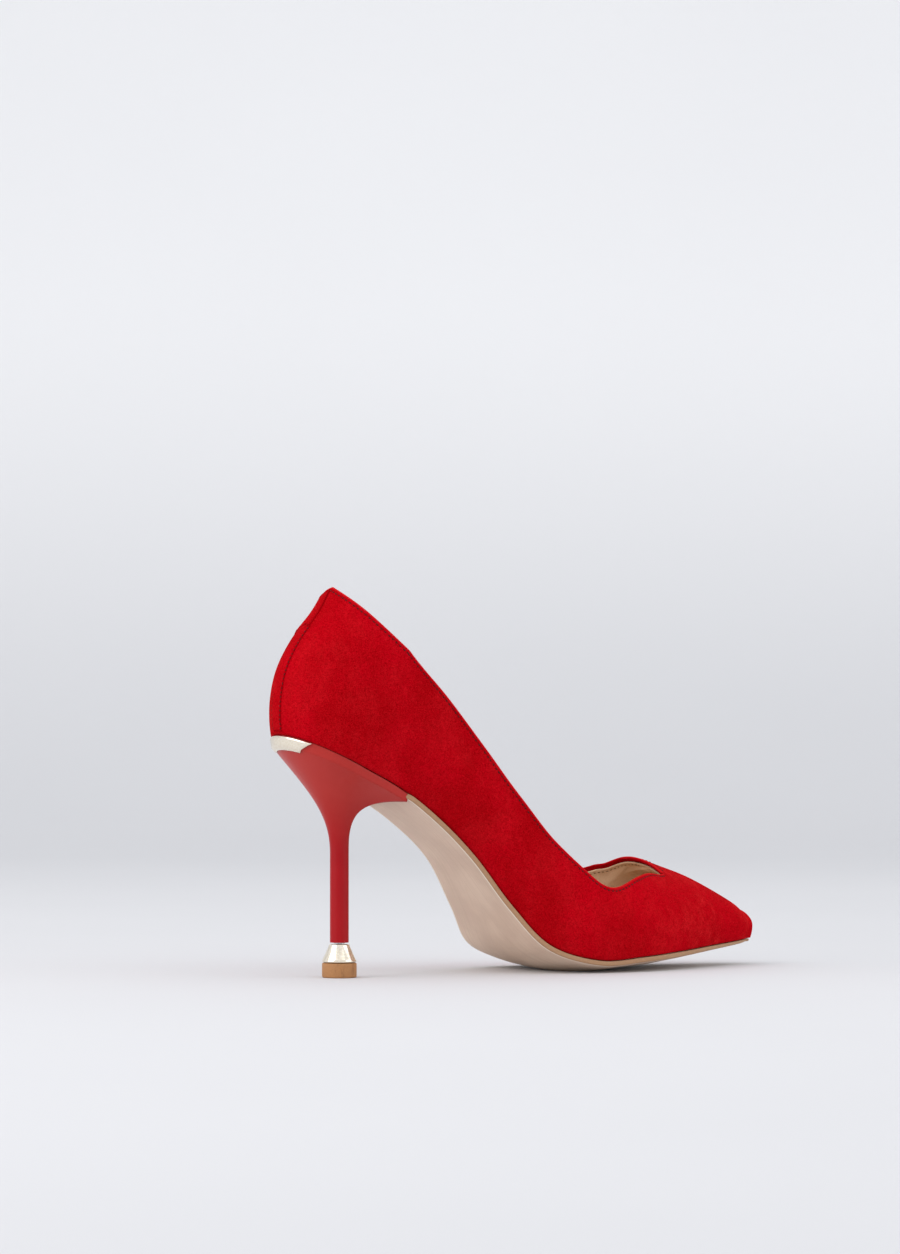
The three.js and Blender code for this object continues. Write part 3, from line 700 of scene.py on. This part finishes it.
def sheet_columns(side, places, low, inset, depth, thick, rows, under=0.0, fold=0.0, ease=None):
    """Closed profiles of a wall layer: up its outer face, round its top edge, down its inner face.
    low gives the girth of its lower edge, under turns it in below the foot by that much, and
    fold is the height of a thicker hem under the edge. ease lets the depth change down the wall."""
    columns = []
    for place in stations(side, places, inset):
        covered = place <= THROAT
        if covered:
            at, girth, point, out, down = lip(side, place, inset)
        else:
            at, girth = place, topline(side, place)
        foot_at = foot_place(side, place)
        radius = thick / 2 + (0.12 if fold else 0)
        ahead = max(place - THROAT, 0) * PLACE_MM

        def depth_at(distance):
            return depth + (ease(max(distance, ahead)) if ease else 0.0)

        def wall(share, d):
            g = lerp(low(side, foot_at), girth, share)
            return wall_point(side, lerp(foot_at, at, share), g, d)

        outer, inner = [], []
        length = max((wall(1, 0) - wall(0.5, 0)).length * 2, 1)
        for share in span(0, 1, rows)[:-1]:
            share *= 2 - share
            distance = (1 - share) * length
            hem = 0.25 * smooth(distance, fold + 0.6, fold) if fold and covered else 0.0
            outer.append(wall(share, depth_at(distance)))
            inner.append(wall(share, depth_at(distance) + thick + hem))
        column = []
        if under:
            column.append(underfoot(foot_at, side, under, depth))
            column.append(underfoot(foot_at, side, 1.2, depth))
            column.append(underfoot(foot_at, side, 0.35, depth + 0.12))
        column += outer
        count = 10 if fold else 7
        if covered:
            centre = point - out * (depth_at(0) + radius)
            for turn in span(0, math.pi, 6):
                column.append(centre + out * radius * math.cos(turn) - down * radius * math.sin(turn))
            if fold:
                column += [centre - out * radius + down * drop for drop in (0.5, 1.1, 1.7)]
        else:
            near, far = wall(1, depth_at(0)), wall(1, depth_at(0) + thick)
            column += [near] * (count // 2) + [far] * (count - count // 2)
        column += inner[::-1]
        if under:
            column.append(underfoot(foot_at, side, under, depth + thick))
        columns.append([*column, column[0]])
    return columns


def walls(parts, **shape):
    """Weave of wall layers: parts are (side, places, cap at the start, cap at the end)."""
    weave = Weave()
    for side, places, cap_start, cap_end in parts:
        columns = sheet_columns(side, places, **shape)
        weave.grid(columns, side > 0)
        if cap_start:
            weave.fill(columns[0][:-1], side < 0)
        if cap_end:
            weave.fill(columns[-1][:-1], side > 0)
    return weave


def within(side, start, end):
    return [start, *[p for p in TOP[side] if start + 0.005 < p < end - 0.005], end]


SEAM_GAP = 0.006
UPPER = {"low": lambda side, place: 0.012, "inset": 0.55, "depth": 0.0, "thick": SUEDE, "rows": 44}
UPPER |= {"under": 9, "fold": 2.4}
medial_vamp = (1, within(1, SEAM_HIGH + SEAM_GAP, LAST + 1), True, False)
vamp = walls([(-1, TOP[-1], False, False), medial_vamp], **UPPER)
make("suede_vamp", vamp, suede, ["vamp"], top_edge)
quarter = walls([(1, within(1, -1, SEAM_HIGH - SEAM_GAP), False, True)], **UPPER)
make("suede_inner_quarter", quarter, suede, ["medial_quarter"], top_edge)

# ---- Linings and stiffeners -------------------------------------------------------------------


STIFF_OUT, STIFF_IN = 1.65, 2.65  # depths of the stiffeners' two faces under the outer form
LINING_SEAM, LINING_GAP, LINING_END = 4.57, 0.03, 10.3


def lining_ease(distance):
    """The lining lies against the folded hem, and spreads to clear the stiffeners below it."""
    return lerp(STIFF_OUT, LINING_DEPTH, smooth(distance, 1.5, 12))


def at_height(height):
    return lambda side, place: girth_at(section(place), height)


def both(start, end, cap_start, cap_end):
    return [(side, within(side, start, end), cap_start, cap_end) for side in (-1, 1)]


LINED = {"low": at_height(1.5), "inset": 2.0, "depth": 0.0, "thick": LINING, "rows": 30}
LINED |= {"ease": lining_ease}
for name, node, parts in [
    ("quarter_lining_leather", "quarter_lining", both(-1, LINING_SEAM, False, True)),
    ("vamp_lining_leather", "vamp_lining", both(LINING_SEAM + LINING_GAP, LINING_END, True, True)),
]:
    make(name, walls(parts, **LINED), lining_leather, [node], top_edge)


def stiffener(name, node, material, start, end, high):
    """A thin stiff layer between suede and lining, from its start place to its end place."""
    weave = Weave()
    for side in (-1, 1):
        places = within(side, start, end)[::2]
        columns = []
        for place in [*places, end] if places[-1] != end else places:
            top = high(side, place)
            low = min(at_height(2.8)(side, place), top - 0.02)
            girths = [lerp(low, top, share) for share in span(0, 1, 14)]
            face = [wall_point(side, place, girth, STIFF_OUT) for girth in girths]
            back = [wall_point(side, place, girth, STIFF_IN) for girth in girths]
            rim = [wall_point(side, place, top, depth) + Vector((0, 0, 0.3)) for depth in (1.9, 2.4)]
            columns.append([*face, *rim, *back[::-1], face[0]])
        weave.grid(columns, side > 0)
        if start > -1:
            weave.fill(columns[0][:-1], side < 0)
        if end < LAST + 1:
            weave.fill(columns[-1][:-1], side > 0)
    make(name, weave, material, [node])


def counter_top(side, place):
    return girth_at(section(place), lerp(36, 16, clamp(place / 1.8, 0, 1)))


def inner_top(side, place):
    drop = 0.07 + (0.25 if side > 0 else 0.05) * smooth(place, 7, 7.7)
    return topline(side, place) - drop * (1 - smooth(place, THROAT + 0.2, THROAT + 0.9))


stiffener("resin_heel_counter", "heel_counter", buckram, -1, 1.8, counter_top)
stiffener("cotton_interlining", "interlining", cotton, 1.85, 9.17, inner_top)
stiffener("resin_toe_puff", "toe_puff", buckram, 9.2, LAST + 1, topline)

# ---- Foot bed ---------------------------------------------------------------------------------

BED = [*span(-1, 0, 26)[:-1], *span(0, 10, 120)]
BED_INSET = 4.3
SOCK_LOW, SOCK, FOAM_LOW, FOAM = 5.8, 1.0, 4.0, 1.5
SOCK_EDGE_HEIGHT = 6.5


def sock_inset(place, side):
    """The sock spreads over the waist to meet the lining, where the walls flare above the foot bed."""
    s = section(place)
    foot = s["foot_in"] if side > 0 else s["foot_out"]
    wall = abs(wall_point(side, place, girth_at(s, 6.3), LINING_DEPTH + LINING).y) - 0.25
    spread = smooth(place, 0, 0.8) * smooth(place, 9, 8)
    return lerp(BED_INSET, clamp(foot - wall, 0.6, BED_INSET), spread)


def bed_piece(low, thick, inset, crown):
    """Rounded pad under the foot, a little fuller along its middle."""
    weave = Weave()
    columns = []
    for place in BED:
        top, bottom = [], []
        for across in span(-1, 1, 30):
            edge = 1 - abs(across)
            round_off = thick * 0.45 * (1 - smooth(edge, 0, 0.07))
            swell = crown * (1 - across * across) * smooth(10 - place, 0, 0.8)
            drawn_in = inset(place, across)
            top.append(underfoot(place, across, drawn_in, low + thick - round_off + swell))
            bottom.append(underfoot(place, across, drawn_in, low + round_off * 0.5))
        columns.append([*top, *bottom[::-1], top[0]])
    weave.grid(columns)
    weave.fill(columns[-1][:-1])
    return weave


bed_edge = Line(
    [underfoot(p, -1, sock_inset(p, -1), SOCK_EDGE_HEIGHT) for p in reversed(BED)]
    + [underfoot(p, 1, sock_inset(p, 1), SOCK_EDGE_HEIGHT) for p in BED[1:]]
)
sock_weave = bed_piece(SOCK_LOW, SOCK, sock_inset, 0.5)
sock = make("sock_leather_pad", sock_weave, sock_leather, ["sock"], bed_edge)
foam_weave = bed_piece(FOAM_LOW, FOAM, lambda place, side: BED_INSET, 0.25)
cushion = make("sock_foam_pad", foam_weave, foam, ["sock_foam"])

# ---- Outsole ----------------------------------------------------------------------------------

SOLE = [*span(0.55, LAST, 200), *span(LAST, LAST + 1, 16)[1:]]


def outsole_ring(place):
    """Closed ring round the outsole at a place: flat top, painted edge, small bevel, crowned tread."""
    tail = lerp(0.62, 1, clamp((place - 0.55) / 0.7, 0, 1))
    full = min(clamp((place - 3.5) / 2, 0.15, 1), clamp((9.5 - place) / 2, 0, 1))
    toeward = clamp((place - 8) / (LAST - 8), 0, 1)
    thin = lerp(1, 0.5, toeward)
    hang = -0.4 + toeward

    def at(across, inset, up):
        point = underfoot(place, across, hang + inset, -0.3 + (up + 0.3) * thin)
        point.y *= tail
        point.z = max(point.z, 0)
        return point

    def crown(across):
        return 3.5 * full * (1 - across * across)

    top = [at(across, 0, -0.3) for across in span(-1, 1, 16)]
    edge = [(0.0, -0.55), (0.02, -1.6), (0.08, -1.85), (0.45, -2.2), (0.8, -2.3)]
    right = [at(1, inset, up) for inset, up in edge]
    left = [at(-1, inset, up) for inset, up in edge]
    tread = [at(across, 0.8, -2.3 - crown(across) / thin) for across in span(1, -1, 30)[1:-1]]
    return [*top, *right, *tread, *left[::-1], top[0]]


rings = [outsole_ring(place) for place in SOLE]
outsole = Weave()
outsole.grid(rings)
outsole.fill(rings[0][:-1], True)
sole_line = Line([ring[0] for ring in reversed(rings)] + [ring[16] for ring in rings[1:]])
make("outsole_leather_piece", outsole, outsole_leather, ["outsole"], sole_line)

# ---- Heel -------------------------------------------------------------------------------------

FRONT, BREAST, LIP = 1.16, 0.55, 0.1


def rim_places():
    side = [*span(-1, 0, 22)[:-1], *span(0, FRONT, 22)]
    front = span(-1, 1, 44)[1:-1]
    return [
        *[(place, -1) for place in side],
        *[(FRONT - BREAST * (1 - across**2), across) for across in front],
        *[(place, 1) for place in side[:0:-1]],
    ]


def heel_point(place, across, share, grow=0.0):
    rim = underfoot(place, across, 0.8, -0.3)
    angle, reach = math.atan2(rim.y, rim.x), math.hypot(rim.x, rim.y)
    forward = clamp((place + 0.2) / 1.35, 0, 1)
    lip_r, lip_z = reach - 0.7, rim.z - lerp(4, 3.2, forward)
    if share < LIP:
        radius, z = lerp(reach, lip_r, share / LIP), lerp(rim.z, lip_z, share / LIP)
    else:
        t = (share - LIP) / (1 - LIP)
        out = STEM_R + (reach - STEM_R) * lerp(0.37, 0.16, forward)
        radii = (lip_r, out, STEM_R, STEM_R)
        heights = (lip_z, lerp(74.5, 71.5, forward), 66, STEM_TOP)
        weights = ((1 - t) ** 3, 3 * t * (1 - t) ** 2, 3 * t * t * (1 - t), t**3)
        radius = sum(w * r for w, r in zip(weights, radii))
        z = sum(w * h for w, h in zip(weights, heights))
    radius += grow
    return Vector((radius * math.cos(angle), radius * math.sin(angle), z))


def heel_ring(share, grow=0.0):
    return [heel_point(place, across, share, grow) for place, across in rim_places()]


stem_foot = TOP_PIECE + COLLAR + 0.6
shares = [0.006, 0.03, 0.06, 0.085, 0.1, 0.115, *span(0.14, 1, 40)]
heel_rings = [heel_ring(0.0, -0.35), *[heel_ring(share) for share in shares]]
for z in span(STEM_TOP, stem_foot + 0.4, 8)[1:]:
    heel_rings.append([p.copy() for p in heel_rings[-1]])
    for p in heel_rings[-1]:
        p.z = z
heel = Weave()
heel.grid(heel_rings, closed=False)
heel.grid([[ring[-1] for ring in heel_rings], [ring[0] for ring in heel_rings]], flip=True)
heel.fill(heel_rings[0], True)
heel.fill(heel_rings[-1])
make("lacquered_heel", heel, lacquer, ["heel_block"])


def plate_grid(grow, inset):
    """The back plate's face, out from the heel's rim, with its outline drawn in by an inset."""
    rows = []
    for down in span(0, 1, 8):
        end = lerp(-0.53, -0.70, down)
        share = lerp(0.004 + inset * 0.02, 0.13 - inset * 0.02, down)
        half = [lerp(-1, end - inset * 0.035, along) for along in span(0, 1, 18)]
        row = [(place, -1) for place in reversed(half)] + [(place, 1) for place in half[1:]]
        rows.append([heel_point(place, across, share, grow) for place, across in row])
    return rows


outer_face, bevel_face, inner_face = plate_grid(1.25, 0.45), plate_grid(0.95, 0.0), plate_grid(0.3, 0.0)
plate = Weave()
plate.grid(outer_face)


def outline(rows):
    return [*rows[0], *[r[-1] for r in rows[1:]], *rows[-1][-2::-1], *[r[0] for r in rows[-2:0:-1]]]


rings = [outline(face) for face in (outer_face, bevel_face, inner_face)]
plate.grid(rings, flip=True)
plate.grid([[ring[-1], ring[0]] for ring in rings], flip=True)
plate.grid(inner_face, flip=True)
make("gold_back_plate", plate, gold, ["back_plate"])


def turned(name, profile, material, node, segments=96):
    """A turned body from (radius, height) points, bottom of the axis to its top."""
    weave = Weave()
    columns = []
    for i in range(segments):
        angle = 2 * math.pi * i / segments
        columns.append([Vector((r * math.cos(angle), r * math.sin(angle), z)) for r, z in profile])
    weave.grid(columns, closed=True)
    return make(name, weave, material, [node])


base = TOP_PIECE + 0.3
top = base + COLLAR
collar = [
    (1.4, base), (TIP_R - 0.35, base), (TIP_R - 0.08, base + 0.12), (TIP_R, base + 0.4),
    (TIP_R - 0.05, base + 0.65), (TIP_R - 0.35, base + 1.3), (5.5, base + 3.7), (4.42, base + 6.2),
    (4.2, top - 0.4), (4.12, top - 0.12), (3.9, top), (1.4, top),
]
turned("gold_heel_collar", collar, gold, "heel_collar")
tip = [
    (0, 0), (TIP_R - 0.7, 0), (TIP_R - 0.3, 0.1), (TIP_R - 0.08, 0.35), (TIP_R, 0.7), (TIP_R, 3.0),
    (TIP_R, 5.3), (TIP_R - 0.06, 5.65), (TIP_R - 0.3, TOP_PIECE), (1.4, TOP_PIECE),
]
turned("rubber_top_piece", tip, rubber, "top_piece")

# ---- Back strip and tab -----------------------------------------------------------------------


def overlay(name, node, low, high, end_at, wave=0.0):
    """Strip laid over the back seam: a thin pad with a rounded raised edge all round."""
    weave = Weave()
    grid_out, grid_in = [], []
    for share in span(0, 1, 70):
        line_out, line_in = [], []
        for across in [*span(-1, 0, 14)[:-1], *span(0, 1, 14)]:
            side = -1 if across < 0 else 1
            place = lerp(-1, end_at(side, share), abs(across))
            girth = lerp(low(side, place), high(side, place), share)
            girth += wave * math.sin(across * 9 + 1) * (1 - share) ** 6
            rim = min(1 - abs(across), min(share, 1 - share) * 8)
            lift = STRIP_LIFT * math.sqrt(smooth(rim, 0, 0.14))
            lift += 0.1 * smooth(rim, 0, 0.1) * smooth(rim, 0.26, 0.12)
            base_point = form(side, place, girth)
            out = normal(side, place, girth)
            line_out.append(base_point + out * (0.06 + lift))
            line_in.append(base_point - out * 0.1)
        grid_out.append(line_out)
        grid_in.append(line_in)
    ring_out, ring_in = outline(grid_out), outline(grid_in)
    weave.grid(grid_out)
    weave.grid(grid_in, flip=True)
    weave.grid([[a, b] for a, b in zip([*ring_out, ring_out[0]], [*ring_in, ring_in[0]])])
    return make(name, weave, strip_suede, [node], Line([*ring_out, ring_out[0]]))


def top_minus(drop):
    return lambda side, place: topline(side, place) - drop


def strip_low(side, place):
    return 0.012


def tab_end(side, share):
    """Place where the tab ends on each side, from its low edge to its top edge."""
    return lerp(*TAB_ENDS[side], share)


STRIP_LIFT, STRIP_END = 0.32, -0.914
TAB_ENDS = {-1: (-0.925, -0.992), 1: (-0.70, -0.66)}
strip_high = top_minus(0.083)
overlay("back_strip_suede", "back_strip", strip_low, strip_high, lambda side, share: STRIP_END)
overlay("back_tab_suede", "back_tab", top_minus(0.09), top_minus(0.008), tab_end, 0.006)

# ---- Stitches ---------------------------------------------------------------------------------


def stitches(name, centres, radius, length, material):
    """Short rounded stitches: centres are (middle, direction, outward) triples."""
    weave = Weave()
    for middle_point, along, out in centres:
        side_way = out.cross(along).normalized()
        columns = []
        for i in range(8):
            angle = 2 * math.pi * i / 8
            ring = side_way * math.cos(angle) + out * math.sin(angle)
            column = []
            for share in span(-1, 1, 8):
                r = radius * math.sqrt(max(1 - abs(share) ** 3, 0.0))
                sink = out * (-0.16 * share * share)
                column.append(middle_point + along * (share * length / 2) + ring * r + sink)
            columns.append(column)
        weave.grid(columns, closed=True)
    return make(name, weave, material)


def row_on(points_normals, pitch):
    """Stitch centres a pitch apart along a row of (point, outward) pairs."""
    points = [point for point, _ in points_normals]
    found = []
    for i in Line(points).every(pitch, pitch / 2):
        a, b = points[max(i - 1, 0)], points[min(i + 1, len(points) - 1)]
        if (b - a).length > 1e-6:
            found.append((points[i], (b - a).normalized(), points_normals[i][1]))
    return found


def topline_row(side, distance, depth, sign=1):
    """Points along the topline at a distance below it and a depth under the outer form."""
    row = []
    places = [lerp(a, b, t) for a, b in zip(OPEN[side], OPEN[side][1:]) for t in (0, 0.25, 0.5, 0.75)]
    for place in stations(side, places, distance):
        at, girth = below(side, place, distance)
        at = clamp(at, -1, LAST + 1)
        out = normal(side, at, girth)
        row.append((form(side, at, girth) - out * depth, out * sign))
    return row


def strip_row(side):
    """Points along the back strip, just inside its edge."""
    row = []
    place = lerp(-1, STRIP_END, 0.90)
    for share in span(0.015, 0.985, 240):
        girth = lerp(strip_low(side, place), strip_high(side, place), share)
        out = normal(side, place, girth)
        row.append((form(side, place, girth) + out * (STRIP_LIFT + 0.03), out))
    return row


def both_sides(row_of, pitch):
    return [stitch for side in (-1, 1) for stitch in row_on(row_of(side), pitch)]


inner_depth = lining_ease(1.0) + LINING
outer_row = both_sides(lambda side: topline_row(side, 1.7, 0.0), 2.1)
inner_row = both_sides(lambda side: topline_row(side, 3.0, inner_depth, -1), 1.8)
stitches("topline_stitches", outer_row, 0.24, 1.4, red_thread_with_painted_shade)
stitches("lining_edge_stitches", inner_row, 0.2, 1.2, brown_thread)
stitches("back_strip_stitches", both_sides(strip_row, 1.8), 0.2, 1.2, red_thread_with_painted_shade)

# ---- Pieces carried over from the CAD ---------------------------------------------------------

for node, finish in [("insole_board", board_fibre), ("shank", steel), ("bottom_filler", cork)]:
    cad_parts[node].data.materials.clear()
    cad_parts[node].data.materials.append(finish)
for node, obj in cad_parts.items():
    if node.startswith(("heel_nail", "shank_rivet", "heel_screw", "heel_tube", "top_piece_pin")):
        obj.data.materials.clear()
        obj.data.materials.append(steel)

# ---- Studio -----------------------------------------------------------------------------------


def backdrop_material():
    """Matt pale paper, painted paler up its back than on its floor: painted light on the wall."""
    s = Shade("paper_backdrop")
    grain = s.ramp(s.noise(1.4, 3, 0.5), 0.2, 0.8, 0.0, 0.2)
    # Paler with height: painted light that brightens the wall above the floor.
    colour = s.mix(s.ramp(s.position(2), 0.0, 0.5), (0.66, 0.665, 0.68), (0.90, 0.905, 0.91))
    colour = s.mix(grain, colour, (0.8, 0.8, 0.81))
    return s.finish(colour, 0.9, Specular_IOR_Level=0.1)


# A floor that sweeps up into the background behind the shoe, seen from the camera.
AIM = math.radians(58)
forward = Vector((math.cos(AIM), math.sin(AIM), 0))
sideways = Vector((-forward.y, forward.x, 0))
sweep = [(-6.0, 0.0), (1.6, 0.0)]
sweep += [(1.6 + 1.2 * math.sin(t), 1.2 - 1.2 * math.cos(t)) for t in span(0.1, math.pi / 2, 14)]
sweep += [(2.8, 5.0)]
paper = bpy.data.meshes.new("paper")
paper_points = [ORIGIN + forward * d + Vector((0, 0, z)) + sideways * w for w in (-6, 6) for d, z in sweep]
count = len(sweep)
paper.from_pydata(paper_points, [], [(i, i + 1, count + i + 1, count + i) for i in range(count - 1)])
for face in paper.polygons:
    face.use_smooth = True
floor = bpy.data.objects.new("paper", paper)
bpy.context.scene.collection.objects.link(floor)
paper.materials.append(backdrop_material())


def lamp(name, at, target, size, power, colour):
    """A soft rectangular lamp turned to its target."""
    light = bpy.data.lights.new(name, "AREA")
    light.shape = "RECTANGLE"
    light.size, light.size_y = size
    light.energy = power
    light.color = colour
    obj = bpy.data.objects.new(name, light)
    bpy.context.scene.collection.objects.link(obj)
    obj.location = at
    obj.rotation_mode = "QUATERNION"
    obj.rotation_quaternion = (Vector(target) - Vector(at)).to_track_quat("-Z", "Y")
    return obj


centre = ORIGIN + Vector((0.085, 0, 0.07))


def around(angle, distance, height):
    """A point round the shoe: angle 0 is towards the camera, positive to the camera's right."""
    turn = AIM + math.pi + math.radians(angle)
    return centre + Vector((math.cos(turn) * distance, math.sin(turn) * distance, height))


lamp("overhead", around(0, 0.2, 1.7), centre, (2.6, 2.6), 8.5, (1.0, 0.985, 0.975))
lamp("left_soft", around(-62, 1.5, 0.75), centre, (1.2, 1.6), 11, (1.0, 0.98, 0.97))
lamp("right_fill", around(70, 1.8, 0.5), centre, (1.4, 1.4), 5, (0.97, 0.98, 1.0))

world = bpy.data.worlds.new("soft_daylight")
world.use_nodes = True
world.node_tree.nodes["Background"].inputs["Color"].default_value = (0.955, 0.965, 1.0, 1)
world.node_tree.nodes["Background"].inputs["Strength"].default_value = 0.93
bpy.context.scene.world = world

camera_data = bpy.data.cameras.new("camera")
camera_data.lens = 142.6
camera = bpy.data.objects.new("camera", camera_data)
bpy.context.scene.collection.objects.link(camera)
camera.location = ORIGIN + Vector((-1.02297, -1.72119, 0.11372))
pitch = math.radians(0.784)
look = Vector((math.cos(AIM) * math.cos(pitch), math.sin(AIM) * math.cos(pitch), math.sin(pitch)))
camera.rotation_mode = "QUATERNION"
camera.rotation_quaternion = look.to_track_quat("-Z", "Y")
bpy.context.scene.camera = camera
bpy.context.scene.view_settings.view_transform = "Standard"
